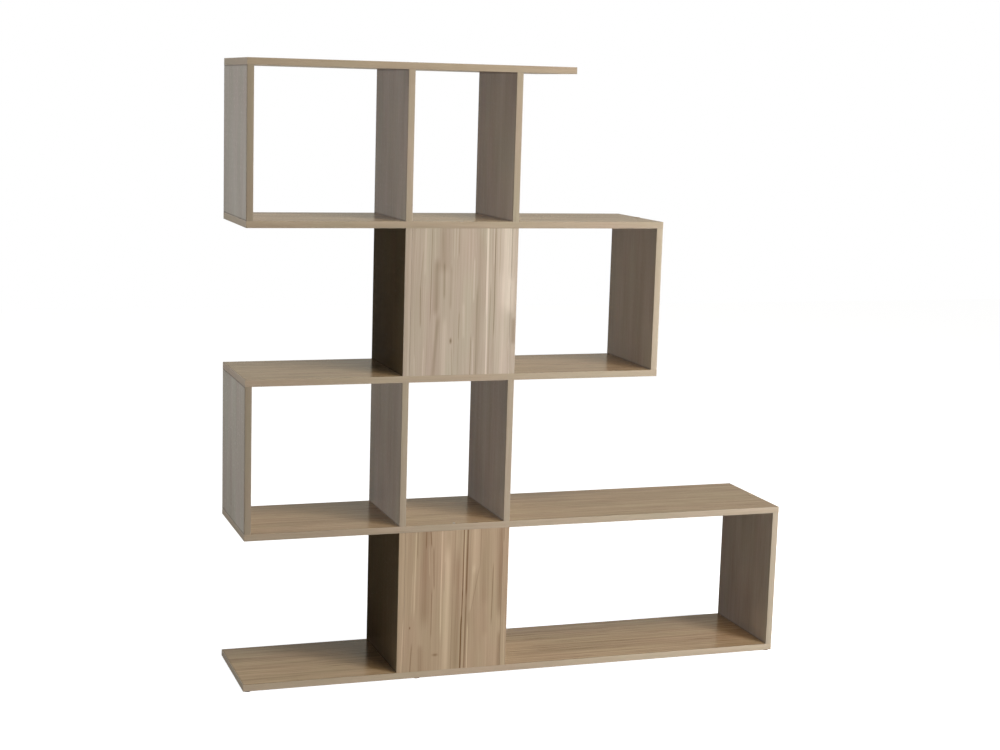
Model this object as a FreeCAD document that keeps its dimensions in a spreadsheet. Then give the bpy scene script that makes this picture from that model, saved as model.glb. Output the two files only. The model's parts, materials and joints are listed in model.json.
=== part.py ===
import FreeCAD, Part
import os
import Sketcher

# Open bookcase in four staggered tiers, cut from melamine faced board.
# Five shelves run through; twelve short uprights and two fixed front panels stand between them.
# Cams and bolts, dowels and screws hold the boards. Glides carry the base.
# Frame: X to the right, Y from front to back, Z up. The origin is on the floor, under the middle.

doc = FreeCAD.newDocument("OpenBookcase")
sheet = doc.addObject("Spreadsheet::Sheet", "Sizes")

# Driving sizes in millimetres
SIZES = {
    # boards, and the clear spaces between them
    "board_thickness": 16,
    "case_depth": 280,
    "tier_height": 349,
    "left_cell_width": 360,
    "column_width": 248,
    "right_cell_width": 358,
    "long_cell_width": 718,
    "top_overhang": 134,
    "panel_gap": 0.3,
    # edge bands
    "band_thickness": 0.8,
    "band_chamfer": 0.5,
    # bores
    "bore_gap": 0.1,
    "bore_floor_gap": 0.5,
    # cams and their cover caps
    "cam_setback": 24,
    "cam_diameter": 14.8,
    "cam_height": 12,
    "cam_slot_width": 2,
    "cam_slot_length": 9,
    "cam_slot_depth": 2.5,
    "cam_cap_diameter": 17,
    "cap_thickness": 1,
    # bolts that the cams pull
    "bolt_thread_diameter": 5.6,
    "bolt_thread_length": 11,
    "bolt_shank_diameter": 7,
    "bolt_neck_diameter": 4,
    "bolt_neck_length": 4,
    "bolt_head_length": 3,
    # wooden dowels
    "dowel_diameter": 8,
    "dowel_length": 30,
    "dowel_seat": 10,
    "dowel_setback": 45,
    "panel_dowel_setback": 50,
    # one-piece screws of the right sides and their cover caps
    "side_screw_diameter": 6.6,
    "side_screw_length": 50,
    "side_screw_head_diameter": 10,
    "side_screw_head_height": 3,
    "side_screw_cap_diameter": 13,
    # countersunk screws of the front panels
    "panel_screw_diameter": 4.5,
    "panel_screw_length": 45,
    "panel_screw_head_diameter": 8,
    "panel_screw_head_proud": 0.6,
    "drive_width": 1,
    "drive_length": 4.5,
    "drive_depth": 1.2,
    # glides
    "glide_diameter": 18,
    "glide_height": 3,
    "glide_setback": 12,
    "middle_glide_inset": 38,
    "nail_diameter": 2,
    "nail_length": 12,
}

# Sides of the prisms that stand for round pieces: hidden pins and bores, cams, visible rims
PIN_SIDES = 6
CAM_SIDES = 12
RIM_SIDES = 16

# Half of the angle of a countersunk head
COUNTERSINK = 45

for row, (alias, number) in enumerate(SIZES.items(), 1):
    sheet.set(f"A{row}", alias)
    sheet.set(f"B{row}", str(number))
    sheet.setAlias(f"B{row}", alias)
doc.recompute()


class Size:
    """A length worked out from cells: Python arithmetic kept as an expression of the sheet."""

    def __init__(self, text):
        self.text = text

    def __add__(self, other):
        return Size(f"({self.text} + {other.text})")

    def __sub__(self, other):
        return Size(f"({self.text} - {other.text})")

    def __mul__(self, factor):
        return Size(f"({self.text} * {factor})")

    def __truediv__(self, divisor):
        return Size(f"({self.text} / {divisor})")

    def __neg__(self):
        return Size(f"(-1 * {self.text})")

    def number(self):
        """Its value now."""
        return float(sheet.evalExpression(self.text))


def cell(alias):
    """The Size of one named cell."""
    return Size(f"Sizes.{alias}")


# Stations along the case, from its left end to the left face of each upright

ZERO = Size("0")
BOARD = cell("board_thickness")
DEPTH = cell("case_depth")
CLEAR = cell("tier_height")
LEFT_SIDE = ZERO
LEFT_DIVIDER = BOARD + cell("left_cell_width")
RIGHT_DIVIDER = LEFT_DIVIDER + BOARD + cell("column_width")
SHORT_RIGHT_SIDE = RIGHT_DIVIDER + BOARD + cell("right_cell_width")
LONG_RIGHT_SIDE = RIGHT_DIVIDER + BOARD + cell("long_cell_width")
PANEL = LEFT_DIVIDER + BOARD + cell("panel_gap")
PANEL_WIDTH = cell("column_width") - cell("panel_gap") * 2
LONG_LENGTH = LONG_RIGHT_SIDE + BOARD
SHORT_LENGTH = SHORT_RIGHT_SIDE + BOARD
TOP_LENGTH = RIGHT_DIVIDER + BOARD + cell("top_overhang")

# Boards by tier, from the floor up: name and station of each upright that stands in the tier

SHELVES = [
    ("base_shelf", LONG_LENGTH),
    ("lower_shelf", LONG_LENGTH),
    ("middle_shelf", SHORT_LENGTH),
    ("upper_shelf", SHORT_LENGTH),
    ("top_shelf", TOP_LENGTH),
]
CAMMED = [
    {"left_divider": LEFT_DIVIDER, "right_divider": RIGHT_DIVIDER},
    {"left_side": LEFT_SIDE, "left_divider": LEFT_DIVIDER, "right_divider": RIGHT_DIVIDER},
    {"left_divider": LEFT_DIVIDER, "right_divider": RIGHT_DIVIDER},
    {"left_side": LEFT_SIDE, "left_divider": LEFT_DIVIDER, "right_divider": RIGHT_DIVIDER},
]
SCREWED = [{"right_side": LONG_RIGHT_SIDE}, {}, {"right_side": SHORT_RIGHT_SIDE}, {}]
PANELLED = [True, False, True, False]
TIER_COUNT = len(CAMMED)

# Places front to back, and heights above the floor

MIDDLE_JOINT = DEPTH / 2
OUTER_JOINTS = [cell("dowel_setback"), DEPTH - cell("dowel_setback")]
PANEL_DOWELS = [cell("panel_dowel_setback"), PANEL_WIDTH - cell("panel_dowel_setback")]
GLIDE_STATIONS = [
    cell("glide_setback"),
    LEFT_DIVIDER + BOARD + cell("middle_glide_inset"),
    LONG_LENGTH - cell("glide_setback"),
]
GLIDE_ROWS = [cell("glide_setback"), DEPTH - cell("glide_setback")]


def shelf_height(level):
    """Height of the underside of a shelf above the floor; level 0 is the base."""
    return cell("glide_height") + (BOARD + CLEAR) * level


def widened(alias):
    """Diameter of the bore for a round piece."""
    return cell(alias) + cell("bore_gap") * 2


# Bores

CAM_BORE = widened("cam_diameter")
CAM_BORE_DEPTH = cell("cam_height") + cell("bore_floor_gap")
BOLT_BORE = widened("bolt_shank_diameter")
THREAD_BORE = widened("bolt_thread_diameter")
THREAD_BORE_DEPTH = cell("bolt_thread_length") + cell("bore_floor_gap")
DOWEL_BORE = widened("dowel_diameter")
DOWEL_REACH = cell("dowel_length") - cell("dowel_seat")
DOWEL_SEAT_DEPTH = cell("dowel_seat") + cell("bore_floor_gap")
DOWEL_END_DEPTH = DOWEL_REACH + cell("bore_floor_gap")
SIDE_SCREW_BORE = widened("side_screw_diameter")
SIDE_SCREW_END_DEPTH = cell("side_screw_length") - BOARD + cell("bore_floor_gap")
PANEL_SCREW_BORE = widened("panel_screw_diameter")
PANEL_SCREW_END_DEPTH = cell("panel_screw_length") - BOARD + cell("bore_floor_gap")
NAIL_BORE = widened("nail_diameter")
NAIL_BORE_DEPTH = cell("nail_length") + cell("bore_floor_gap")

# Turns of a piece that lies another way than it was drawn

AS_DRAWN = FreeCAD.Rotation()
HALF_TURN = FreeCAD.Rotation(FreeCAD.Vector(0, 0, 1), 180)
LEFT_TURN = FreeCAD.Rotation(FreeCAD.Vector(0, 0, 1), 90)
RIGHT_TURN = FreeCAD.Rotation(FreeCAD.Vector(0, 0, 1), -90)
UPSIDE_DOWN = FreeCAD.Rotation(FreeCAD.Vector(1, 0, 0), 180)
FACING_RIGHT = FreeCAD.Rotation(FreeCAD.Vector(0, 1, 0), 90)
FACING_RIGHT_TURNED = FACING_RIGHT.multiply(HALF_TURN)


# Sketches and features that every piece is made with

def new_body(name):
    """An empty body whose label names its node."""
    body = doc.addObject("PartDesign::Body", name)
    body.Label = name
    return body


def new_sketch(body, name, role, offset=None):
    """A sketch on one of the body's origin planes, or parallel to it at a distance."""
    sketch = body.newObject("Sketcher::SketchObject", f"{body.Name}_{name}")
    plane = next(item for item in body.Origin.OriginFeatures if item.Role == role)
    sketch.AttachmentSupport = (plane, "")
    sketch.MapMode = "FlatFace"
    if offset is not None:
        sketch.setExpression("AttachmentOffset.Base.z", offset.text)
    return sketch


def hold(sketch, kind, places, length):
    """A dimension of the sketch that follows a Size."""
    index = sketch.addConstraint(Sketcher.Constraint(kind, *places, length.number()))
    sketch.setExpression(f"Constraints[{index}]", length.text)


def draw_outline(sketch, corners):
    """A closed outline of straight lines; every corner is held from the sketch's origin."""
    points = [FreeCAD.Vector(across.number(), up.number(), 0) for across, up in corners]
    lines = [sketch.addGeometry(Part.LineSegment(point, points[(place + 1) % len(points)]))
             for place, point in enumerate(points)]
    for place, (across, up) in enumerate(corners):
        following = lines[(place + 1) % len(lines)]
        sketch.addConstraint(Sketcher.Constraint("Coincident", lines[place], 2, following, 1))
        hold(sketch, "DistanceX", (-1, 1, lines[place], 1), across)
        hold(sketch, "DistanceY", (-1, 1, lines[place], 1), up)


def across_corners(diameter, sides):
    """Distance over the corners of a ring of flats, from its diameter across the flats."""
    return Size(f"({diameter.text} / cos({180 / sides} deg))")


def draw_rings(sketch, centres, diameter, sides):
    """Equal rings of flats round given centres; the diameter is across the flats."""
    reach = (across_corners(diameter, sides) / 2).text
    for across, up in centres:
        corners = []
        for side in range(sides):
            angle = (2 * side + 1) * 180 / sides
            corners.append((across + Size(f"({reach} * cos({angle} deg))"),
                            up + Size(f"({reach} * sin({angle} deg))")))
        draw_outline(sketch, corners)


def draw_circle(sketch, across, up, diameter):
    """A true circle, held from the sketch's origin."""
    centre = FreeCAD.Vector(across.number(), up.number(), 0)
    ring = Part.Circle(centre, FreeCAD.Vector(0, 0, 1), diameter.number() / 2)
    circle = sketch.addGeometry(ring)
    hold(sketch, "Diameter", (circle,), diameter)
    hold(sketch, "DistanceX", (-1, 1, circle, 3), across)
    hold(sketch, "DistanceY", (-1, 1, circle, 3), up)


def pad(body, sketch, length):
    """Thickens a sketch along its normal."""
    feature = body.newObject("PartDesign::Pad", f"{sketch.Name}_pad")
    feature.Profile = sketch
    feature.setExpression("Length", length.text)


def pocket(body, sketch, depth=None, along_normal=False):
    """Cuts a sketch to a depth, or right through, against its normal or along it."""
    feature = body.newObject("PartDesign::Pocket", f"{sketch.Name}_pocket")
    feature.Profile = sketch
    feature.Reversed = along_normal
    if depth is None:
        feature.Type = "ThroughAll"
    else:
        feature.setExpression("Length", depth.text)
    return feature


def stacked_body(name, sections, sides):
    """A round piece drawn with flats: sections of diameter, lower and upper height on one axis."""
    body = new_body(name)
    for number, (diameter, low, high) in enumerate(sections, 1):
        sketch = new_sketch(body, f"section_{number}", "XY_Plane", low)
        draw_rings(sketch, [(ZERO, ZERO)], diameter, sides)
        pad(body, sketch, high - low)
    return body


def move(piece, along, back, up):
    """Places a piece from the case's left end, its front edge and the floor."""
    piece.setExpression("Placement.Base.x", (along - LONG_LENGTH / 2).text)
    piece.setExpression("Placement.Base.y", (back - DEPTH / 2).text)
    piece.setExpression("Placement.Base.z", up.text)


def set_out(name, pieces):
    """One node of like pieces: a compound of copies, each with its own place and turn."""
    copies = []
    for number, (master, along, back, up, turn) in enumerate(pieces, 1):
        copy = doc.addObject("App::Link", f"{name}_{number}")
        copy.LinkedObject = master
        copy.Placement = FreeCAD.Placement(FreeCAD.Vector(), turn)
        move(copy, along, back, up)
        copies.append(copy)
    group = doc.addObject("Part::Compound", name)
    group.Label = name
    group.Links = copies
    nodes.append(group)


nodes = []


# Boards: a rectangle in plan thickened upwards, then bored from the faces that meet other pieces

def new_board(name, trim_across, trim_back, width, depth, height):
    """A plain board, trimmed in plan where bands cover its edges."""
    body = new_body(name)
    plan = new_sketch(body, "plan", "XY_Plane")
    right = width - trim_across
    far = depth - trim_back
    draw_outline(plan, [(trim_across, trim_back), (right, trim_back), (right, far), (trim_across, far)])
    pad(body, plan, height)
    return body


def bore_up(body, name, centres, diameter, depth=None):
    """Bores that open on the underside of a board."""
    if centres:
        sketch = new_sketch(body, name, "XY_Plane")
        draw_rings(sketch, centres, diameter, PIN_SIDES)
        pocket(body, sketch, depth, along_normal=True)


def bore_down(body, name, centres, diameter, depth, face):
    """Bores that open on the upper face of a board."""
    if centres:
        sketch = new_sketch(body, name, "XY_Plane", face)
        draw_rings(sketch, centres, diameter, PIN_SIDES)
        pocket(body, sketch, depth)


def over_joints(stations, rows):
    """Centres in plan over the middle of each upright at its joint rows."""
    return [(station + BOARD / 2, row) for station in stations for row in rows]


def in_tier(uprights, tier):
    """Stations of the uprights in a tier; none under the base or over the top."""
    return uprights[tier] if 0 <= tier < TIER_COUNT else {}


def has_panel(tier):
    """Whether a front panel closes the column in a tier."""
    return 0 <= tier < TIER_COUNT and PANELLED[tier]


PANEL_DOWEL_CENTRES = [(PANEL + along, BOARD / 2) for along in PANEL_DOWELS]


class Level:
    """One shelf's height, and what meets it from below and from above."""

    def __init__(self, number):
        below = in_tier(CAMMED, number - 1)
        above = in_tier(CAMMED, number)
        screwed_below = list(in_tier(SCREWED, number - 1).values())
        screwed_above = list(in_tier(SCREWED, number).values())
        crossing = [below[key] for key in below if key in above]
        hung = [below[key] for key in below if key not in above]
        standing = [above[key] for key in above if key not in below]
        self.panel_below = has_panel(number - 1)
        self.panel_above = has_panel(number)
        self.through_bolts = over_joints(crossing, [MIDDLE_JOINT])
        self.bolts_below = over_joints(hung, [MIDDLE_JOINT])
        self.bolts_above = over_joints(standing, [MIDDLE_JOINT])
        self.through_dowels = over_joints(crossing, OUTER_JOINTS)
        self.dowels_below = over_joints(hung + screwed_below, OUTER_JOINTS)
        self.dowels_above = over_joints(standing + screwed_above, OUTER_JOINTS)
        if self.panel_below:
            self.dowels_below += PANEL_DOWEL_CENTRES
        if self.panel_above:
            self.dowels_above += PANEL_DOWEL_CENTRES
        self.screws_below = over_joints(screwed_below, [MIDDLE_JOINT])
        self.screws_above = over_joints(screwed_above, [MIDDLE_JOINT])
        self.underside = shelf_height(number)
        self.top = self.underside + BOARD


LEVELS = [Level(number) for number in range(TIER_COUNT + 1)]


def sink_panel_screw(shelf, from_top):
    """A hole through a shelf over the middle of a panel, with a conical seat for the head."""
    centre = PANEL + PANEL_WIDTH / 2
    bore_up(shelf, "panel_screw", [(centre, BOARD / 2)], PANEL_SCREW_BORE)
    seat = new_sketch(shelf, "panel_screw_seat", "XY_Plane", BOARD if from_top else ZERO)
    mouth = cell("panel_screw_head_diameter") - cell("panel_screw_head_proud") * 2 + cell("bore_gap") * 2
    draw_circle(seat, centre, BOARD / 2, mouth)
    cone = pocket(shelf, seat, (mouth - PANEL_SCREW_BORE) / 2, along_normal=not from_top)
    cone.TaperAngle = -COUNTERSINK


def make_shelf(number):
    """A through shelf with its bores for bolts, dowels, screws and nails."""
    name, length = SHELVES[number]
    level = LEVELS[number]
    band = cell("band_thickness")
    head_depth = cell("side_screw_head_height")
    head_bore = widened("side_screw_head_diameter")
    shelf = new_board(name, band, band, length, DEPTH, BOARD)
    bore_up(shelf, "through_bolts", level.through_bolts, BOLT_BORE)
    bore_up(shelf, "bolts_below", level.bolts_below, THREAD_BORE, THREAD_BORE_DEPTH)
    bore_down(shelf, "bolts_above", level.bolts_above, THREAD_BORE, THREAD_BORE_DEPTH, BOARD)
    bore_up(shelf, "through_dowels", level.through_dowels, DOWEL_BORE)
    bore_up(shelf, "dowels_below", level.dowels_below, DOWEL_BORE, DOWEL_SEAT_DEPTH)
    bore_down(shelf, "dowels_above", level.dowels_above, DOWEL_BORE, DOWEL_SEAT_DEPTH, BOARD)
    bore_up(shelf, "side_screws", level.screws_below + level.screws_above, SIDE_SCREW_BORE)
    bore_down(shelf, "heads_on_top", level.screws_below, head_bore, head_depth, BOARD)
    bore_up(shelf, "heads_under", level.screws_above, head_bore, head_depth)
    if level.panel_below or level.panel_above:
        sink_panel_screw(shelf, level.panel_below)
    if number == 0:
        nails = [(along, back) for along in GLIDE_STATIONS for back in GLIDE_ROWS]
        bore_up(shelf, "nails", nails, NAIL_BORE, NAIL_BORE_DEPTH)
    move(shelf, ZERO, ZERO, level.underside)
    nodes.append(shelf)


def bore_both_ends(board, name, centres, diameter, depth):
    """The same bores in the lower and the upper end of a standing board."""
    bore_up(board, f"{name}_low", centres, diameter, depth)
    bore_down(board, f"{name}_high", centres, diameter, depth, CLEAR)


def new_upright(tier, name):
    """A standing board of one tier with its front and back edges trimmed for bands."""
    board = new_board(f"{name}_tier_{tier + 1}", ZERO, cell("band_thickness"), BOARD, DEPTH, CLEAR)
    bore_both_ends(board, "dowels", [(BOARD / 2, row) for row in OUTER_JOINTS], DOWEL_BORE,
                   DOWEL_END_DEPTH)
    return board


def place_upright(board, tier, station):
    """Stands an upright on the shelf under it."""
    move(board, station, ZERO, LEVELS[tier].top)
    nodes.append(board)


def make_cammed_upright(tier, name, station):
    """An upright with a cam near each end; the cams open on its right face."""
    board = new_upright(tier, name)
    bore_both_ends(board, "bolt", [(BOARD / 2, MIDDLE_JOINT)], BOLT_BORE, cell("cam_setback"))
    cams = new_sketch(board, "cams", "YZ_Plane", BOARD)
    heights = [cell("cam_setback"), CLEAR - cell("cam_setback")]
    draw_rings(cams, [(MIDDLE_JOINT, height) for height in heights], CAM_BORE, CAM_SIDES)
    pocket(board, cams, CAM_BORE_DEPTH)
    place_upright(board, tier, station)


def make_screwed_upright(tier, name, station):
    """A right side, bored in its ends for screws that pass through the shelves."""
    board = new_upright(tier, name)
    bore_both_ends(board, "screw", [(BOARD / 2, MIDDLE_JOINT)], SIDE_SCREW_BORE,
                   SIDE_SCREW_END_DEPTH)
    place_upright(board, tier, station)


def make_front_panel(tier):
    """A fixed panel between the dividers, flush with the front edges of the case."""
    panel = new_board(f"front_panel_tier_{tier + 1}", ZERO, ZERO, PANEL_WIDTH, BOARD, CLEAR)
    bore_both_ends(panel, "screw", [(PANEL_WIDTH / 2, BOARD / 2)], PANEL_SCREW_BORE,
                   PANEL_SCREW_END_DEPTH)
    bore_both_ends(panel, "dowels", [(along, BOARD / 2) for along in PANEL_DOWELS], DOWEL_BORE,
                   DOWEL_END_DEPTH)
    move(panel, PANEL, ZERO, LEVELS[tier].top)
    nodes.append(panel)


for shelf_number in range(TIER_COUNT + 1):
    make_shelf(shelf_number)
for tier_number in range(TIER_COUNT):
    for upright_name, upright_station in CAMMED[tier_number].items():
        make_cammed_upright(tier_number, upright_name, upright_station)
    for upright_name, upright_station in SCREWED[tier_number].items():
        make_screwed_upright(tier_number, upright_name, upright_station)
    if PANELLED[tier_number]:
        make_front_panel(tier_number)


# Edge bands: thin strips with scraped outer arrises, glued over the sawn edges of the boards

def band_outline():
    """Section of a band as thickness and width; its outer face is at zero thickness."""
    thick = cell("band_thickness")
    chamfer = cell("band_chamfer")
    return [
        (thick, ZERO), (thick, BOARD), (chamfer, BOARD),
        (ZERO, BOARD - chamfer), (ZERO, chamfer), (chamfer, ZERO),
    ]


def lying_band(name, length):
    """A band along X, with its outer face to the front."""
    band = new_body(name)
    section = new_sketch(band, "section", "YZ_Plane")
    draw_outline(section, band_outline())
    pad(band, section, length)
    return band


def standing_band(name, length):
    """A band along Z, with its outer face to the front."""
    band = new_body(name)
    section = new_sketch(band, "section", "XY_Plane")
    draw_outline(section, [(across, thick) for thick, across in band_outline()])
    pad(band, section, length)
    return band


def make_shelf_bands():
    """Long bands over the whole front and back edges; end bands between them."""
    strip = cell("band_thickness")
    end_band = lying_band("end_band", DEPTH - strip * 2)
    long_bands = []
    end_bands = []
    for level, (name, length) in zip(LEVELS, SHELVES):
        band = lying_band(f"{name}_band", length)
        long_bands.append((band, ZERO, ZERO, level.underside, AS_DRAWN))
        long_bands.append((band, length, DEPTH, level.underside, HALF_TURN))
        end_bands.append((end_band, ZERO, DEPTH - strip, level.underside, RIGHT_TURN))
        end_bands.append((end_band, length, strip, level.underside, LEFT_TURN))
    set_out("long_shelf_bands", long_bands)
    set_out("end_shelf_bands", end_bands)


def make_upright_bands():
    """Bands on the front and back edge of every upright."""
    band = standing_band("upright_band", CLEAR)
    bands = []
    for tier in range(TIER_COUNT):
        foot = LEVELS[tier].top
        for station in [*CAMMED[tier].values(), *SCREWED[tier].values()]:
            bands.append((band, station, ZERO, foot, AS_DRAWN))
            bands.append((band, station + BOARD, DEPTH, foot, HALF_TURN))
    set_out("upright_bands", bands)


make_shelf_bands()
make_upright_bands()


# Cams: a disc with a passage from its middle out through its rim, where it grips a bolt's head

def make_cam():
    """A cam that stands on its open inner end; the bolt comes in along X, the driver from above."""
    cam = stacked_body("cam", [(cell("cam_diameter"), ZERO, cell("cam_height"))], CAM_SIDES)
    behind_head = cell("bolt_head_length") / 2 + cell("bore_gap")
    passage = new_sketch(cam, "passage", "YZ_Plane", -behind_head)
    side = across_corners(BOLT_BORE, PIN_SIDES) / 2
    roof = cell("cam_height") - BOARD / 2 + BOLT_BORE / 2
    draw_outline(passage, [(-side, ZERO), (side, ZERO), (side, roof), (-side, roof)])
    pocket(cam, passage, along_normal=True)
    slot = new_sketch(cam, "slot", "XY_Plane", cell("cam_height"))
    far = cell("cam_slot_length") / 2
    near = cell("cam_slot_width") / 2
    draw_outline(slot, [(-far, -near), (far, -near), (far, near), (-far, near)])
    pocket(cam, slot, cell("cam_slot_depth"))
    return cam


def make_cams():
    """A cam near each end of every cammed upright, and a cap over each."""
    cam = make_cam()
    cap = stacked_body("cam_cap", [(cell("cam_cap_diameter"), ZERO, cell("cap_thickness"))], RIM_SIDES)
    cams = []
    caps = []
    for tier in range(TIER_COUNT):
        low = LEVELS[tier].top + cell("cam_setback")
        high = LEVELS[tier].top + CLEAR - cell("cam_setback")
        for station in CAMMED[tier].values():
            face = station + BOARD
            inner_end = face - cell("cam_height")
            cams.append((cam, inner_end, MIDDLE_JOINT, low, FACING_RIGHT))
            cams.append((cam, inner_end, MIDDLE_JOINT, high, FACING_RIGHT_TURNED))
            caps.append((cap, face, MIDDLE_JOINT, low, FACING_RIGHT))
            caps.append((cap, face, MIDDLE_JOINT, high, FACING_RIGHT))
    set_out("cams", cams)
    set_out("cam_caps", caps)


make_cams()


# Bolts: a shank with a necked head for a cam, on a thread or on both sides of a shelf

def bolt_end(face):
    """Sections of a bolt from the face of its shelf up to its head: shank, neck and head."""
    head_low = face + cell("cam_setback") - cell("bolt_head_length") / 2
    neck_low = head_low - cell("bolt_neck_length")
    head_high = head_low + cell("bolt_head_length")
    return [
        (cell("bolt_shank_diameter"), face, neck_low),
        (cell("bolt_neck_diameter"), neck_low, head_low),
        (cell("bolt_shank_diameter"), head_low, head_high),
    ]


def make_bolts():
    """Single bolts screwed into a shelf's face, double bolts right through a shelf."""
    thread = (cell("bolt_thread_diameter"), -cell("bolt_thread_length"), ZERO)
    single = stacked_body("single_bolt", [thread] + bolt_end(ZERO), PIN_SIDES)
    shank, neck, head = bolt_end(BOARD / 2)
    mirrored = [(diameter, -high, -low) for diameter, low, high in (head, neck)]
    long_shank = (shank[0], -shank[2], shank[2])
    double = stacked_body("double_bolt", mirrored + [long_shank, neck, head], PIN_SIDES)
    singles = []
    doubles = []
    for level in LEVELS:
        for along, back in level.bolts_above:
            singles.append((single, along, back, level.top, AS_DRAWN))
        for along, back in level.bolts_below:
            singles.append((single, along, back, level.underside, UPSIDE_DOWN))
        for along, back in level.through_bolts:
            doubles.append((double, along, back, level.underside + BOARD / 2, AS_DRAWN))
    set_out("single_bolts", singles)
    set_out("double_bolts", doubles)


make_bolts()


# Dowels: beech pins, glued into the shelves

def make_dowels():
    """Short dowels where a board meets one face of a shelf, long ones where boards cross it."""
    diameter = cell("dowel_diameter")
    short = stacked_body("short_dowel", [(diameter, ZERO, cell("dowel_length"))], PIN_SIDES)
    long = stacked_body("long_dowel", [(diameter, ZERO, BOARD + DOWEL_REACH * 2)], PIN_SIDES)
    shorts = []
    longs = []
    for level in LEVELS:
        for along, back in level.dowels_above:
            shorts.append((short, along, back, level.top - cell("dowel_seat"), AS_DRAWN))
        for along, back in level.dowels_below:
            shorts.append((short, along, back, level.underside - DOWEL_REACH, AS_DRAWN))
        for along, back in level.through_dowels:
            longs.append((long, along, back, level.underside - DOWEL_REACH, AS_DRAWN))
    set_out("short_dowels", shorts)
    set_out("long_dowels", longs)


make_dowels()


# Screws: capped one-piece screws hold the right sides, bare countersunk ones the front panels

def make_side_screw():
    """A one-piece screw that hangs from the top of its flat head."""
    shoulder = -cell("side_screw_head_height")
    return stacked_body("side_screw", [
        (cell("side_screw_diameter"), -cell("side_screw_length"), shoulder),
        (cell("side_screw_head_diameter"), shoulder, ZERO),
    ], PIN_SIDES)


def cross_outline(width, length):
    """Twelve corners of an even cross about the origin."""
    near = width / 2
    far = length / 2
    arm = [(near, near), (near, far), (-near, far)]
    corners = []
    for _ in range(4):
        corners += arm
        arm = [(-up, across) for across, up in arm]
    return corners


def make_panel_screw():
    """A countersunk screw that hangs from the top of its head, with a cross drive."""
    head = cell("panel_screw_head_diameter") / 2
    shank = cell("panel_screw_diameter") / 2
    under_head = shank - head
    screw = stacked_body("panel_screw", [
        (cell("panel_screw_diameter"), -cell("panel_screw_length"), under_head),
    ], PIN_SIDES)
    cone = new_sketch(screw, "head", "XZ_Plane")
    draw_outline(cone, [(ZERO, under_head), (shank, under_head), (head, ZERO), (ZERO, ZERO)])
    turned = screw.newObject("PartDesign::Revolution", "panel_screw_head_turned")
    turned.Profile = cone
    turned.ReferenceAxis = (cone, ["V_Axis"])
    drive = new_sketch(screw, "drive", "XY_Plane")
    draw_outline(drive, cross_outline(cell("drive_width"), cell("drive_length")))
    pocket(screw, drive, cell("drive_depth"))
    return screw


def make_screws():
    """Every screw goes through its shelf from the face that its board does not touch."""
    side_screw = make_side_screw()
    panel_screw = make_panel_screw()
    cap = stacked_body("side_screw_cap", [
        (cell("side_screw_cap_diameter"), ZERO, cell("cap_thickness")),
    ], RIM_SIDES)
    side_screws = []
    side_caps = []
    panel_screws = []
    proud = cell("panel_screw_head_proud")
    middle = PANEL + PANEL_WIDTH / 2
    for level in LEVELS:
        for along, back in level.screws_below:
            side_screws.append((side_screw, along, back, level.top, AS_DRAWN))
            side_caps.append((cap, along, back, level.top, AS_DRAWN))
        for along, back in level.screws_above:
            side_screws.append((side_screw, along, back, level.underside, UPSIDE_DOWN))
            side_caps.append((cap, along, back, level.underside, UPSIDE_DOWN))
        if level.panel_below:
            panel_screws.append((panel_screw, middle, BOARD / 2, level.top + proud, AS_DRAWN))
        if level.panel_above:
            under = level.underside - proud
            panel_screws.append((panel_screw, middle, BOARD / 2, under, UPSIDE_DOWN))
    set_out("side_screws", side_screws)
    set_out("side_screw_caps", side_caps)
    set_out("panel_screws", panel_screws)


make_screws()


# Glides: plastic discs, nailed under the base

def make_glides():
    """Six glides on the floor, and the nails that stand in them."""
    glide = stacked_body("glide", [(cell("glide_diameter"), ZERO, cell("glide_height"))], RIM_SIDES)
    nail = stacked_body("nail", [(cell("nail_diameter"), ZERO, cell("nail_length"))], PIN_SIDES)
    places = [(along, back) for along in GLIDE_STATIONS for back in GLIDE_ROWS]
    set_out("glides", [(glide, along, back, ZERO, AS_DRAWN) for along, back in places])
    set_out("glide_nails", [(nail, along, back, cell("glide_height"), AS_DRAWN)
                            for along, back in places])


make_glides()
doc.recompute()


# Checks before anything is written

for item in doc.Objects:
    if "Invalid" in item.State or "Error" in item.State:
        raise ValueError(f"{item.Name} did not recompute: {item.State}")
    if item.TypeId == "PartDesign::Pocket":
        if item.Shape.Volume >= item.BaseFeature.Shape.Volume:
            raise ValueError(f"{item.Name} cuts nothing")
for node in nodes:
    if node.Shape.isNull() or not node.Shape.isValid():
        raise ValueError(f"{node.Label} has no valid shape")

os.makedirs("parts", exist_ok=True)
for node in nodes:
    node.Shape.exportStep(f"parts/{node.Label}.step")
print(f"{len(nodes)} nodes, {sum(len(node.Shape.Solids) for node in nodes)} solids")
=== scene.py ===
import json
import math
import bpy
import numpy as np
from mathutils import Matrix, Vector

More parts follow.
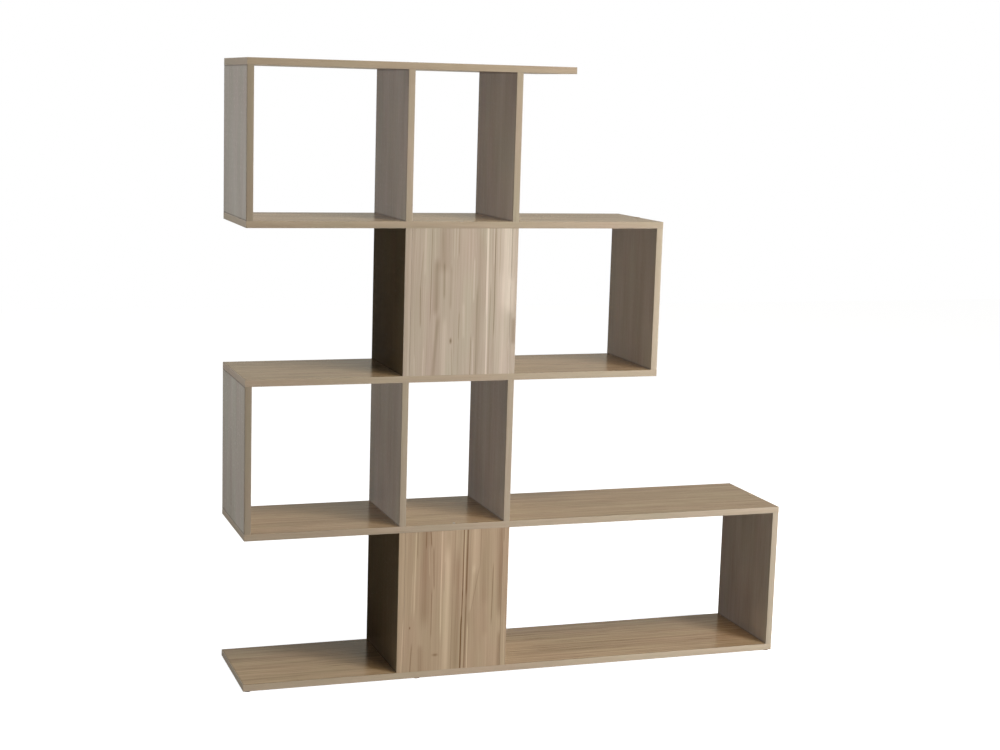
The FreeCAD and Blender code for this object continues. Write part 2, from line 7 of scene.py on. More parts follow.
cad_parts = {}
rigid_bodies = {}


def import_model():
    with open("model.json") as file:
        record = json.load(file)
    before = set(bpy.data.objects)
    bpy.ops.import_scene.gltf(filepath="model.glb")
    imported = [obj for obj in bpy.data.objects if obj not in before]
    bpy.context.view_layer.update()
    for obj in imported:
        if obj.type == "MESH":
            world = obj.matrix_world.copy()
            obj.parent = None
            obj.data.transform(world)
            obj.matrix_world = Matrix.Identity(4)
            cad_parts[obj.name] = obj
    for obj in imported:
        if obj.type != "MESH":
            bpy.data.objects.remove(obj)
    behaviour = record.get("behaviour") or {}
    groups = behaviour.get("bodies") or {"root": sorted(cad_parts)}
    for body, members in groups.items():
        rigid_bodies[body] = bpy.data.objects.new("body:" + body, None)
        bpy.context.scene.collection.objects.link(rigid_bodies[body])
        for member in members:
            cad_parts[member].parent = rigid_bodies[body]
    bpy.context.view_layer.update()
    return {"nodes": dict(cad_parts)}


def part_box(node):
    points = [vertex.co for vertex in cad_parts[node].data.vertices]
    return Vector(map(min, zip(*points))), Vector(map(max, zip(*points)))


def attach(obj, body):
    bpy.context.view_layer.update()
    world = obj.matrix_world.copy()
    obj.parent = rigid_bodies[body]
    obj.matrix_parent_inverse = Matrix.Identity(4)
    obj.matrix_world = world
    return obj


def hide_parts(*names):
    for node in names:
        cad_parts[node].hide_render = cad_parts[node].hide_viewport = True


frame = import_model()
nodes = frame["nodes"]


# Shelves
# Five long boards of chipboard, faced above and below with printed paper under a satin varnish.
# The print is a greyed elm, and its grain runs along the shelf. Each shelf comes from another sheet.

MM = 0.001
SCREEN_STEPS = 255
SCREEN_TOE = 0.055
SCREEN_POWER = 2.4


def colour(red, green, blue):
    """Linear colour of a screen colour: each share s becomes (s + toe) / (1 + toe) to the power."""
    shares = np.array([red, green, blue]) / SCREEN_STEPS
    linear = ((shares + SCREEN_TOE) / (1 + SCREEN_TOE)) ** SCREEN_POWER
    return (*linear.tolist(), 1.0)


class Wire:
    """A value that a node puts out. Python's operators on it add Math nodes to its finish."""

    def __init__(self, finish, socket):
        self.finish = finish
        self.socket = socket

    def beside(self, output):
        """Another output of the same node."""
        return Wire(self.finish, self.socket.node.outputs[output])

    def worked(self, operation, *values):
        """What a Math node makes of the values."""
        return self.finish.add("ShaderNodeMath", {"operation": operation}, values)

    def __add__(self, other):
        return self.worked("ADD", self, other)

    def __sub__(self, other):
        return self.worked("SUBTRACT", self, other)

    def __mul__(self, other):
        return self.worked("MULTIPLY", self, other)

    def __truediv__(self, other):
        return self.worked("DIVIDE", self, other)

    def __pow__(self, other):
        return self.worked("POWER", self, other)

    def __rsub__(self, other):
        return self.worked("SUBTRACT", other, self)

    def least(self, other):
        return self.worked("MINIMUM", self, other)

    def size(self):
        return self.worked("ABSOLUTE", self)

    __radd__ = __add__
    __rmul__ = __mul__


MIX_SHARE = 0
MIX_LOW = 6
MIX_HIGH = 7
MIX_RESULT = 2


class Finish:
    """The nodes of one material or of the world."""

    def __init__(self, owner):
        owner.use_nodes = True
        self.owner = owner
        self.tree = owner.node_tree
        self.tree.nodes.clear()

    def add(self, kind, settings=None, inputs=(), output=0):
        """A node: its settings, then values or wires for its inputs, by name or in order."""
        node = self.tree.nodes.new(kind)
        for name, value in (settings or {}).items():
            setattr(node, name, value)
        pairs = inputs.items() if isinstance(inputs, dict) else enumerate(inputs)
        for name, value in pairs:
            if isinstance(value, Wire):
                self.tree.links.new(value.socket, node.inputs[name])
            else:
                node.inputs[name].default_value = value
        return Wire(self, node.outputs[output]) if len(node.outputs) else None

    def blended(self, share, low, high, kind="MIX"):
        """The colour low where the share is 0, and high where it is 1, or the two in another blend."""
        settings = {"data_type": "RGBA", "blend_type": kind, "clamp_factor": True}
        inputs = {MIX_SHARE: share, MIX_LOW: low, MIX_HIGH: high}
        return self.add("ShaderNodeMix", settings, inputs, MIX_RESULT)

    def rising(self, value, low, high):
        """0 where the value is under low, 1 over high, and an S between."""
        settings = {"interpolation_type": "SMOOTHSTEP"}
        return self.add("ShaderNodeMapRange", settings, [value, low, high])

    def surface(self, base, roughness, relief, depth, metallic=0.0):
        """Ends the material: a Principled surface whose relief stands out by a depth."""
        normal = self.add("ShaderNodeBump", inputs={
            "Strength": 1.0, "Distance": depth, "Height": relief})
        shader = self.add("ShaderNodeBsdfPrincipled", inputs={
            "Base Color": base, "Roughness": roughness, "Normal": normal, "Metallic": metallic})
        self.add("ShaderNodeOutputMaterial", inputs={"Surface": shader})
        return self.owner


def board_axes(finish, order):
    """Object coordinates by the board: along its grain, across it, and through its thickness."""
    place = finish.add("ShaderNodeTexCoord", output="Object")
    split = finish.add("ShaderNodeSeparateXYZ", inputs=[place])
    return [split.beside(letter) for letter in order]


FINE_DETAIL = 1.0
NOISE_MIDDLE = 0.5


def noise(finish, place, scale, detail=FINE_DETAIL):
    """Noise from 0 to 1 with scale spots to a unit of place, and detail finer layers in them."""
    return finish.add("ShaderNodeTexNoise", inputs={"Vector": place, "Scale": scale, "Detail": detail})


def flecks(finish, axes, length, width):
    """Noise from -0.5 to 0.5, of the place over a fleck's length along the grain and width across it."""
    along, across, through = axes
    place = finish.add("ShaderNodeCombineXYZ", inputs=[along / length, across / width, through / width])
    return noise(finish, place, 1.0) - NOISE_MIDDLE


# Painted shade that darkens the print along the edges of shelves and uprights
RIM_WIDTH = 5 * MM
RIM_SHARE = 0.5
RIM_SHADE_COLOUR = colour(84, 68, 54)


def rim(finish, along, across, sheet):
    """Painted shade along a board's edges: 1 on its edges, and 0 from RIM_WIDTH inwards.

    It rises with an S as the least of the distances to the four edges falls.
    """
    (along_low, along_high), (across_low, across_high) = sheet
    inside = (along - along_low).least(along_high - along).least(across - across_low)
    return finish.rising(inside.least(across_high - across), RIM_WIDTH, 0)


MIDDLE_TONE = 0.43
SHEET_STEP = 0.37
SHEET_ASIDE_SHARE = 0.7
DRIFT_LENGTH = 520 * MM
DRIFT_WIDTH = 90 * MM
DRIFT_REACH = 20 * MM
FIGURE_DRIFT = DRIFT_REACH * 0.12
VEIN_FROM = 0.12
VEIN_TO = 0.26
PORE_LENGTH = 14 * MM
PORE_WIDTH = 0.5 * MM
PORE_FROM = 0.14
PORE_TO = 0.24
PORE_TONE = 0.05
HUE_LENGTH = 200 * MM
HUE_WIDTH = 45 * MM
HUE_SHIFT = 0.9
HUE_ASIDE = 0.3
HUE_SPREAD = 2
BLUSH_WARM = (1.03, 0.99, 0.98, 1.0)
BLUSH_COOL = (0.98, 1.01, 0.96, 1.0)
BOARD_ROUGHNESS = 0.2
FIBRE_ROUGHNESS = 0.08
CLOUD_ROUGHNESS = 0.06
PORE_ROUGHNESS = 0.1
FIBRE_RELIEF_SHARE = 0.3
BOARD_RELIEF = 0.03 * MM


def printed_wood(name, order, shift, shades, grain, sheet=None, figure=None, roughness=BOARD_ROUGHNESS):
    """Printed wood: every layer is noise of one wandering place across the grain.

    place = across + drift * DRIFT_REACH. The tone between shades, which are pale and deep, is a
    weighted sum of layers: clouds, bands, growth lines, dark veins, fibres and pores. grain gives
    length and width in millimetres and weight of each but the pores. shift picks a place of the
    print, and sheet is where the board ends; near those ends a painted shade darkens the edges.
    """
    finish = Finish(bpy.data.materials.new(name))
    along, across, through = board_axes(finish, order)
    far, aside = along + shift, across + shift * SHEET_ASIDE_SHARE
    drift = flecks(finish, (far, aside, through), DRIFT_LENGTH, DRIFT_WIDTH)
    place = aside + drift * DRIFT_REACH
    found = {}
    for layer, (length, width, _) in grain.items():
        found[layer] = flecks(finish, (far, place, through), length * MM, width * MM)
    clouds, fibres = found["clouds"], found["fibres"]
    found["veins"] = finish.rising(found["veins"], VEIN_FROM, VEIN_TO)
    pores = flecks(finish, (far, place, through), PORE_LENGTH, PORE_WIDTH)
    pores = finish.rising(pores, PORE_FROM, PORE_TO)
    tone = MIDDLE_TONE + pores * PORE_TONE
    for layer, (_, _, weight) in grain.items():
        tone = tone + found[layer] * weight
    if figure is not None:
        tone = tone + figure(finish, along, across + drift * FIGURE_DRIFT)
    print_colour = finish.blended(tone, *shades)
    hue = flecks(finish, (far + HUE_SHIFT, place + HUE_ASIDE, through), HUE_LENGTH, HUE_WIDTH)
    blush = finish.blended(hue * HUE_SPREAD + NOISE_MIDDLE, BLUSH_WARM, BLUSH_COOL)
    print_colour = finish.blended(1.0, print_colour, blush, "MULTIPLY")
    if sheet is not None:
        # Painted shade along the board's edges
        edge_shade = rim(finish, along, across, sheet) * RIM_SHARE
        print_colour = finish.blended(edge_shade, print_colour, RIM_SHADE_COLOUR)
    relief = fibres * FIBRE_RELIEF_SHARE - pores
    gloss = roughness + fibres * FIBRE_ROUGHNESS + clouds * CLOUD_ROUGHNESS + pores * PORE_ROUGHNESS
    return finish.surface(print_colour, gloss, relief, BOARD_RELIEF)


def toned(shades, level, cool=0.0):
    """Colours of one sheet: sheets differ a little, and some levels are painted light or shade.

    Each is multiplied by level. Red is also multiplied by 1 - cool / 2, and blue by 1 + cool.
    """
    scales = (level * (1 - cool / 2), level, level * (1 + cool), 1.0)
    return [tuple(channel * scale for channel, scale in zip(shade, scales)) for shade in shades]


def dress(name, material):
    """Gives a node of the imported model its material."""
    slots = nodes[name].data.materials
    for place in range(len(slots)):
        slots[place] = material


def sheet_of(name, order):
    """Where a board ends along its grain and across it."""
    low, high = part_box(name)
    return [(getattr(low, letter.lower()), getattr(high, letter.lower())) for letter in order[:2]]


SHELF_GRAIN = {"clouds": (420, 60, 0.4), "bands": (900, 20, 0.34), "lines": (420, 6, 0.7),
               "veins": (120, 3, 0.5), "fibres": (70, 2.2, 0.5)}
SHELF_PRINT = (colour(212, 188, 157), colour(125, 96, 65))
# Lightness and coolness of each sheet beside the print's own
SHELF_SHADES = {
    "base_shelf": (1.0, -0.02),
    "lower_shelf": (0.98, 0.02),
    "middle_shelf": (1.01, 0.07),
    # The upper shelf's paler, cooler sheet is partly painted sheen, light reflected along its top.
    "upper_shelf": (1.21, 0.22),
    "top_shelf": (1.03, 0.05),
}

for place, (name, shades) in enumerate(SHELF_SHADES.items()):
    shelf_print = toned(SHELF_PRINT, *shades)
    sheet = sheet_of(name, "XY")
    dress(name, printed_wood(name, "XYZ", place * SHEET_STEP, shelf_print, SHELF_GRAIN, sheet))


# Uprights
# Twelve short boards of the same stock stand between the shelves, their grain upright.
# Dividers carry the column in every tier, and sides close the cells that run out to left or right.

UPRIGHT_GRAIN = {"clouds": (300, 70, 0.36), "bands": (700, 16, 0.16), "lines": (300, 4.5, 0.14),
                 "veins": (130, 1.7, 0.14), "fibres": (60, 1.2, 0.22)}
UPRIGHT_PRINT = (colour(198, 184, 162), colour(112, 93, 69))
UPRIGHT_SHIFT = 1.0
UPRIGHT_SHADES = {
    "left_side_tier_4": (1.01, 0.06),
    "left_side_tier_2": (1.02, 0.04),
    "left_divider_tier_4": (1.0, 0.02),
    # The left dividers of tiers 3 and 1 stand in the open recess: their darker sheets are painted shade
    # of it.
    "left_divider_tier_3": (0.6, -0.2),
    "left_divider_tier_2": (0.96, 0.0),
    "left_divider_tier_1": (0.8, 0.0),
    "right_divider_tier_4": (1.02, 0.0),
    "right_divider_tier_3": (1.0, 0.0),
    "right_divider_tier_2": (1.0, 0.02),
    "right_divider_tier_1": (1.0, 0.0),
    "right_side_tier_3": (0.92, -0.04),
    "right_side_tier_1": (0.98, -0.02),
}
UPRIGHTS = sorted(UPRIGHT_SHADES)

for place, name in enumerate(UPRIGHTS):
    upright_print = toned(UPRIGHT_PRINT, *UPRIGHT_SHADES[name])
    shift = UPRIGHT_SHIFT + place * SHEET_STEP
    sheet = sheet_of(name, "ZY")
    dress(name, printed_wood(name, "ZYX", shift, upright_print, UPRIGHT_GRAIN, sheet))


# Front panels
# Two fixed panels close the column in the first and the third tier, flush with the shelves.
# Their grain stands upright. The print's boldest figure falls on them: long streaks and small knots. The
# broad pale run at the right of the upper panel is painted sheen.

PANEL_GRAIN = {"clouds": (420, 60, 0.2), "bands": (900, 13, 0.2), "lines": (600, 4.2, 0.22),
               "veins": (180, 2.0, 0.07), "fibres": (120, 1.4, 0.28)}
STREAK_FADE_SHARE = 0.18
# Marks: name, x at head and foot, half width in mm, depth of tone, lowest and highest z
LOWER_PANEL_STREAKS = [
    ("pale line at the left", -0.2760, -0.2791, 2.6, -0.36, 0.140, 0.399),
    ("pale line near it", -0.2825, -0.2859, 1.8, -0.18, 0.155, 0.274),
    ("short dark line", -0.2718, -0.2718, 1.6, 0.32, 0.297, 0.404),
    ("broad brown run", -0.2507, -0.2523, 19.0, 0.20, 0.116, 0.414),
    ("dark at its head", -0.2499, -0.2499, 2.4, 0.24, 0.320, 0.410),
    ("dark line at the left, head", -0.2394, -0.2132, 2.2, 0.40, 0.324, 0.410),
    ("pale line beside it", -0.2450, -0.2298, 1.5, -0.26, 0.251, 0.340),
    ("dark line at the left", -0.2324, -0.2223, 2.4, 0.36, 0.216, 0.336),
    ("dark line at the left, middle", -0.2338, -0.2338, 2.0, 0.30, 0.093, 0.232),
    ("second pale line", -0.2107, -0.2102, 3.0, -0.34, 0.074, 0.410),
    ("pale middle", -0.1949, -0.1949, 12.5, -0.30, -0.031, 0.355),
    ("soft dark in it", -0.2009, -0.2055, 2.4, 0.16, 0.209, 0.297),
    ("dark by the middle", -0.1699, -0.1707, 13.0, 0.15, -0.024, 0.340),
    ("fine dark line", -0.1772, -0.1790, 1.4, 0.22, 0.216, 0.410),
    ("sharp side of the middle", -0.1808, -0.1815, 1.5, 0.16, -0.020, 0.224),
    ("dark pair, left line", -0.1549, -0.1557, 2.2, 0.50, 0.193, 0.410),
    ("dark pair, left line, middle", -0.1531, -0.1585, 2.2, 0.48, 0.124, 0.224),
    ("dark pair, left line, foot", -0.1567, -0.1576, 3.2, 0.64, -0.031, 0.159),
    ("pale line in the pair", -0.1511, -0.1518, 1.6, -0.28, 0.186, 0.404),
    ("dark pair, right line", -0.1449, -0.1470, 4.0, 0.44, 0.178, 0.410),
    ("dark pair, right line, foot", -0.1442, -0.1475, 3.6, 0.32, -0.031, 0.209),
    ("pale line at the pair's foot", -0.1417, -0.1407, 1.6, -0.52, -0.031, 0.140),
    ("pale run by the pair", -0.1261, -0.1272, 13.0, -0.16, 0.247, 0.410),
    ("pale run, bending in", -0.1212, -0.1451, 8.0, -0.16, 0.151, 0.286),
    ("its side", -0.1106, -0.1145, 1.8, 0.18, 0.259, 0.403),
    ("its side, bending in", -0.0969, -0.1574, 1.8, 0.20, 0.151, 0.282),
    ("brown run at the right", -0.0941, -0.0975, 16.0, 0.11, 0.163, 0.403),
    ("brown line at the right", -0.0756, -0.0811, 2.2, 0.34, 0.116, 0.290),
    ("olive run at the right", -0.0607, -0.0596, 11.0, 0.22, 0.128, 0.403),
    ("dark line in its head", -0.0518, -0.0518, 2.0, 0.24, 0.328, 0.410),
    ("brown at the right, foot", -0.0566, -0.0591, 8.0, 0.22, -0.031, 0.116),
    ("pale run, foot", -0.0935, -0.0960, 13.0, -0.10, -0.031, 0.116),
    ("left foot, dark", -0.2692, -0.2850, 2.4, 0.32, -0.027, 0.097),
    ("left foot, pale", -0.2987, -0.3075, 2.4, -0.22, -0.027, 0.166),
    ("brown foot", -0.2677, -0.2598, 12.0, 0.16, -0.031, 0.093),
    ("pale right edge", -0.0463, -0.0446, 3.0, -0.16, -0.027, 0.170),
]
UPPER_PANEL_STREAKS = [
    ("dark line at the left, upper part", -0.2707, -0.2930, 1.4, 0.18, 0.954, 1.050),
    ("dark line at the left", -0.2821, -0.2761, 1.6, 0.38, 0.858, 0.970),
    ("light run beside it", -0.2688, -0.2699, 5.0, -0.16, 0.977, 1.138),
    ("dark line of the run", -0.2533, -0.2551, 1.4, 0.36, 0.858, 1.125),
    ("broad dark run", -0.2398, -0.2425, 12.0, 0.20, 0.885, 1.035),
    ("broad dark run, head", -0.2237, -0.2191, 24.0, 0.14, 0.985, 1.140),
    ("soft dark in the run", -0.2231, -0.2189, 4.5, 0.18, 0.927, 1.023),
    ("second soft dark", -0.2040, -0.2063, 4.5, 0.13, 0.900, 1.016),
    ("dark run, foot", -0.2195, -0.2452, 8.0, 0.22, 0.718, 0.904),
    ("light run at its right", -0.2181, -0.2199, 9.0, -0.15, 0.706, 0.896),
    ("fine light line", -0.1980, -0.1962, 1.5, -0.20, 1.020, 1.133),
    ("second fine light line", -0.1903, -0.1903, 1.5, -0.20, 1.020, 1.133),
    ("fine dark line", -0.1861, -0.1861, 1.3, 0.26, 1.027, 1.129),
    ("dark line under the middle", -0.1784, -0.1853, 1.5, 0.30, 0.827, 0.904),
    ("its foot", -0.1816, -0.1845, 1.5, 0.14, 0.706, 0.839),
    ("light run in the middle", -0.1750, -0.1694, 6.0, -0.10, 0.831, 0.927),
    ("light line", -0.1472, -0.1472, 3.0, -0.20, 0.916, 1.035),
    ("dark behind it", -0.1398, -0.1380, 4.0, 0.18, 0.706, 0.977),
    ("broad dark by the bright line", -0.1299, -0.1307, 13.0, 0.10, 0.706, 1.121),
    ("tail of the knot", -0.2118, -0.1974, 2.0, 0.18, 0.714, 0.820),
    ("low dark line", -0.1497, -0.1522, 1.4, 0.42, 0.706, 0.854),
    ("light beside it", -0.1461, -0.1461, 1.8, -0.22, 0.706, 0.846),
    ("bright line, upper part", -0.1153, -0.1135, 3.6, -0.66, 0.877, 1.140),
    ("bright line, lower part", -0.1154, -0.1123, 3.0, -0.36, 0.706, 0.916),
    ("dark at its left", -0.1188, -0.1188, 1.2, 0.22, 0.893, 1.073),
    ("dark at its right", -0.1051, -0.1068, 3.0, 0.22, 0.706, 0.985),
    ("second bright line", -0.0999, -0.0972, 1.4, -0.28, 1.000, 1.140),
    ("dark line beside it", -0.0961, -0.0951, 1.6, 0.46, 0.816, 1.129),
    ("its foot", -0.0996, -0.0938, 1.5, 0.18, 0.706, 0.839),
    # The pale right side is painted sheen, light reflected on the right of the panel.
    ("pale right side", -0.0661, -0.0661, 30.0, -0.34, 0.877, 1.144),
    ("pale right side, foot", -0.0730, -0.0730, 24.0, -0.12, 0.703, 0.916),
    ("fine line 1", -0.0838, -0.0838, 1.7, 0.18, 0.977, 1.140),
    ("fine line 2", -0.0761, -0.0772, 1.7, 0.16, 0.977, 1.140),
    ("fine line 3", -0.0607, -0.0618, 1.7, 0.20, 0.977, 1.140),
    ("fine line 4", -0.0534, -0.0545, 1.7, 0.20, 0.977, 1.140),
    ("fine line 5", -0.0453, -0.0475, 1.7, 0.18, 0.977, 1.140),
    ("pale cloud at the right", -0.0538, -0.0538, 12.0, -0.16, 0.889, 0.985),
    ("brown at the right", -0.0453, -0.0453, 8.0, 0.24, 0.816, 0.889),
    ("light line at the right, foot", -0.0582, -0.0542, 1.8, -0.28, 0.706, 0.846),
    ("dark beside it", -0.0596, -0.0576, 1.2, 0.20, 0.706, 0.816),
    ("light line at the left, foot", -0.2664, -0.2699, 1.8, -0.22, 0.706, 0.823),
    ("second light line, foot", -0.2954, -0.2907, 1.6, -0.20, 0.706, 0.804),
]
# Knots: x, z, half width and half height in mm, depth of tone
LOWER_PANEL_KNOTS = [(-0.2224, 0.0580, 12, 6, 0.34), (-0.2876, 0.1300, 3, 6, 0.5)]
UPPER_PANEL_KNOTS = [(-0.2026, 0.8310, 4.5, 11, 0.5)]


def drawn_figure(panel, streaks, knots):
    """A panel's own streaks and knots, as a function that adds them up over the panel.

    A streak is 1 on its line and 0 a half width aside. Its line leans from its place at the panel's
    head to that at its foot, and it fades out over STREAK_FADE_SHARE of its length at both of its
    ends. A knot is the same over an ellipse.
    """
    foot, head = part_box(panel)[0].z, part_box(panel)[1].z

    def figure(finish, along, across):
        descent = (head - along) / (head - foot)
        total = along * 0
        for _, at_head, at_foot, width, depth, low, high in streaks:
            aside = (across - at_head - descent * (at_foot - at_head)).size()
            line = finish.rising(aside, width * MM, 0)
            fade = (high - low) * STREAK_FADE_SHARE
            ends = finish.rising(along, low, low + fade) * finish.rising(along, high, high - fade)
            total = total + line * ends * depth
        for x, z, half_width, half_height, depth in knots:
            aside, above = (across - x) / (half_width * MM), (along - z) / (half_height * MM)
            total = total + finish.rising((aside * aside + above * above) ** 0.5, 1, 0) * depth
        return total

    return figure


LOWER_PANEL_PRINT = (colour(204, 184, 159), colour(114, 85, 60))
UPPER_PANEL_PRINT = (colour(210, 197, 185), colour(111, 95, 69))
LOWER_PANEL_SHIFT = 2.1
UPPER_PANEL_SHIFT = 2.6

lower_print = printed_wood(
    "front_panel_tier_1", "ZXY", LOWER_PANEL_SHIFT, LOWER_PANEL_PRINT, PANEL_GRAIN,
    figure=drawn_figure("front_panel_tier_1", LOWER_PANEL_STREAKS, LOWER_PANEL_KNOTS))
upper_print = printed_wood(
    "front_panel_tier_3", "ZXY", UPPER_PANEL_SHIFT, UPPER_PANEL_PRINT, PANEL_GRAIN,
    figure=drawn_figure("front_panel_tier_3", UPPER_PANEL_STREAKS, UPPER_PANEL_KNOTS))
dress("front_panel_tier_1", lower_print)
dress("front_panel_tier_3", upper_print)


# Edge bands
# Plastic strips, printed like the boards but a little greyer, are glued over every sawn edge that shows.
# A scraper has rounded their arrises, which leaves a fine groove wherever two boards meet.

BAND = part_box("base_shelf")[0].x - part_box("long_shelf_bands")[0].x
ARRIS = 0.6 * MM
ARRIS_STEPS = 5
BAND_ROUGHNESS = 0.42
BAND_GRAIN = {"clouds": (420, 60, 0.3), "bands": (900, 13, 0.15), "lines": (450, 4.2, 0.15),
              "veins": (130, 1.7, 0.14), "fibres": (60, 1.2, 0.3)}
BAND_PRINT = (colour(193, 178, 159), colour(134, 117, 98))
UPRIGHT_BAND_PRINT = (colour(178, 166, 150), colour(124, 109, 91))
END_BAND_PRINT = (colour(166, 150, 128), colour(114, 97, 78))
BAND_SHADES = {
    # The base shelf's lighter bands are painted light on the lowest front edge.
    "base_shelf": 1.11,
    "lower_shelf": 0.96,
    "middle_shelf": 0.97,
    "upper_shelf": 0.93,
    "top_shelf": 0.93,
}
UPRIGHT_BAND_SHADES = {
    # Lighter from left to right: painted light, as the key falls stronger on the edges at the right.
    "left_side": 0.94,
    "left_divider": 1.09,
    "right_divider": 1.13,
    "right_side_tier_1": 1.2,
    "right_side_tier_3": 1.25,
}
BAND_SHIFT = 3.1
UPRIGHT_BAND_SHIFT = 3.3
END_BAND_SHIFT = 3.6
SHARP_ANGLE = 40


def band_section(width):
    """Depth out of the board and place over its width, of a strip with two quarter-round arrises.

    On the round, depth = band - arris + arris * sin turn, and place = half - arris + arris * cos turn.
    """
    turn = np.linspace(0, math.pi / 2, ARRIS_STEPS + 1)
    half = width / 2
    round_out = BAND - ARRIS + ARRIS * np.sin(turn)
    round_up = half - ARRIS + ARRIS * np.cos(turn)
    out = np.concatenate([[0], round_out, round_out[::-1], [0]])
    up = np.concatenate([[half], round_up, -round_up[::-1], [-half]])
    return out, up


def swept_strip(start, end, outward, width):
    """A band: point = start or end + outward * depth + sideways * place over the width."""
    start, end, outward = np.array(start), np.array(end), np.array(outward, float)
    out, up = band_section(width)
    sideways = np.cross(end - start, outward)
    sideways /= np.linalg.norm(sideways)
    ring = out[:, None] * outward + up[:, None] * sideways
    points = np.concatenate([start + ring, end + ring])
    count = len(ring)
    near = np.arange(count)
    following = np.roll(near, -1)
    walls = np.stack([near, following, following + count, near + count], 1)
    return points, [walls, near[None, ::-1], near[None] + count]


def joined(name, parts):
    """One mesh object of several parts: each gives its points and its faces in blocks of one kind."""
    points = np.concatenate([part_points for part_points, _ in parts])
    faces = []
    start = 0
    for part_points, blocks in parts:
        for block in blocks:
            faces += (block + start).tolist()
        start += len(part_points)
    mesh = bpy.data.meshes.new(name)
    mesh.from_pydata(points.tolist(), [], faces)
    mesh.shade_smooth()
    mesh.set_sharp_from_angle(angle=math.radians(SHARP_ANGLE))
    piece = bpy.data.objects.new(name, mesh)
    bpy.context.scene.collection.objects.link(piece)
    return piece


def add_piece(name, parts, material, slot, *stands_for):
    """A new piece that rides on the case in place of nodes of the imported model."""
    piece = joined(name, parts)
    piece.data.materials.append(material)
    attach(piece, "root")
    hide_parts(*stands_for)


def shelf_edges(name):
    """Bands of one shelf: long ones over its front and back edge, short ones over its ends."""
    low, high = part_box(name)
    middle = (low.z + high.z) / 2
    width = high.z - low.z
    left, right = low.x - BAND, high.x + BAND
    long_bands = [
        swept_strip((right, low.y, middle), (left, low.y, middle), (0, -1, 0), width),
        swept_strip((left, high.y, middle), (right, high.y, middle), (0, 1, 0), width),
    ]
    end_bands = [
        swept_strip((low.x, low.y, middle), (low.x, high.y, middle), (-1, 0, 0), width),
        swept_strip((high.x, high.y, middle), (high.x, low.y, middle), (1, 0, 0), width),
    ]
    return long_bands, end_bands


def front_edge(name):
    """The band over the front edge of one upright."""
    low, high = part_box(name)
    middle = (low.x + high.x) / 2
    return swept_strip((middle, low.y, low.z), (middle, low.y, high.z), (0, -1, 0), high.x - low.x)


def back_edge(name):
    """The band over the back edge of one upright."""
    low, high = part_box(name)
    middle = (low.x + high.x) / 2
    return swept_strip((middle, high.y, high.z), (middle, high.y, low.z), (0, 1, 0), high.x - low.x)


shelf_bands = {name: shelf_edges(name) for name in BAND_SHADES}
for name, level in BAND_SHADES.items():
    piece = name + "_long_bands"
    shades = toned(BAND_PRINT, level)
    band_print = printed_wood(piece, "XZY", BAND_SHIFT + level, shades, BAND_GRAIN,
                              roughness=BAND_ROUGHNESS)
    add_piece(piece, shelf_bands[name][0], band_print, "edge_band", "long_shelf_bands")
end_print = printed_wood("end_edge_band", "YZX", END_BAND_SHIFT, END_BAND_PRINT, BAND_GRAIN,
                         roughness=BAND_ROUGHNESS)
add_piece("end_edge_bands", [band for _, end_bands in shelf_bands.values() for band in end_bands],
          end_print, "edge_band", "end_shelf_bands")
BESIDE_PANELS = {
    "lower_panel_edge_bands": (["left_divider_tier_1", "right_divider_tier_1"], lower_print),
    "upper_panel_edge_bands": (["left_divider_tier_3", "right_divider_tier_3"], upper_print),
}
beside = [name for names, _ in BESIDE_PANELS.values() for name in names]
for group, level in UPRIGHT_BAND_SHADES.items():
    boards = [name for name in UPRIGHTS if name.startswith(group)]
    strips = [front_edge(name) for name in boards if name not in beside]
    strips += [back_edge(name) for name in boards]
    piece = group + "_bands"
    shades = toned(UPRIGHT_BAND_PRINT, level)
    band_print = printed_wood(piece, "ZXY", UPRIGHT_BAND_SHIFT + level, shades, BAND_GRAIN,
                              roughness=BAND_ROUGHNESS)
    add_piece(piece, strips, band_print, "edge_band", "upright_bands")
for piece, (names, panel_print) in BESIDE_PANELS.items():
    add_piece(piece, [front_edge(name) for name in names], panel_print, "edge_band", "upright_bands")


# Fittings inside the boards
# Turned beech dowels keep the boards in line. Zinc cams, cast and plated, pull on steel bolts.
# The sides at the right have one-piece screws instead. All of it is hidden once the case stands.

BEECH_GRAIN = {"clouds": (40, 12, 0.3), "bands": (60, 4, 0.3), "lines": (60, 2, 0.2),
               "veins": (9, 0.8, 0.2), "fibres": (12, 0.5, 0.3)}
BEECH_PRINT = (colour(214, 184, 142), colour(180, 146, 102))
BEECH_SHIFT = 5.0
MOTTLE_SCALE = 400.0
SOFT_DETAIL = 2.0
CAST_GRAIN_SCALE = 3000.0
PLATE_DEEP = colour(120, 122, 124)
PLATE_ROUGHNESS = 0.28
PLATE_ROUGHNESS_SPREAD = 0.2
FINE_RELIEF = 0.02 * MM
ZINC_COLOUR = colour(196, 198, 200)


def plated(name, shade):
    """Zinc plate: a grey metal with a soft mottle in its gloss and a fine cast grain."""
    finish = Finish(bpy.data.materials.new(name))
    place = finish.add("ShaderNodeTexCoord", output="Object")
    mottle = noise(finish, place, MOTTLE_SCALE, SOFT_DETAIL)
    grain = noise(finish, place, CAST_GRAIN_SCALE)
    tint = finish.blended(mottle, shade, PLATE_DEEP)
    gloss = PLATE_ROUGHNESS + mottle * PLATE_ROUGHNESS_SPREAD
    return finish.surface(tint, gloss, grain, FINE_RELIEF, metallic=1.0)


zinc = plated("zinc_plate", ZINC_COLOUR)
for name in ["cams", "single_bolts", "double_bolts", "side_screws", "glide_nails"]:
    dress(name, zinc)
for name in ["short_dowels", "long_dowels"]:
    dress(name, printed_wood(name, "ZXY", BEECH_SHIFT, BEECH_PRINT, BEECH_GRAIN))


# Cover caps
# Thin plastic discs in the colour of the print are pressed into the cams and the sides' screws.
# They are moulded, with a rolled rim and a shallow dish.

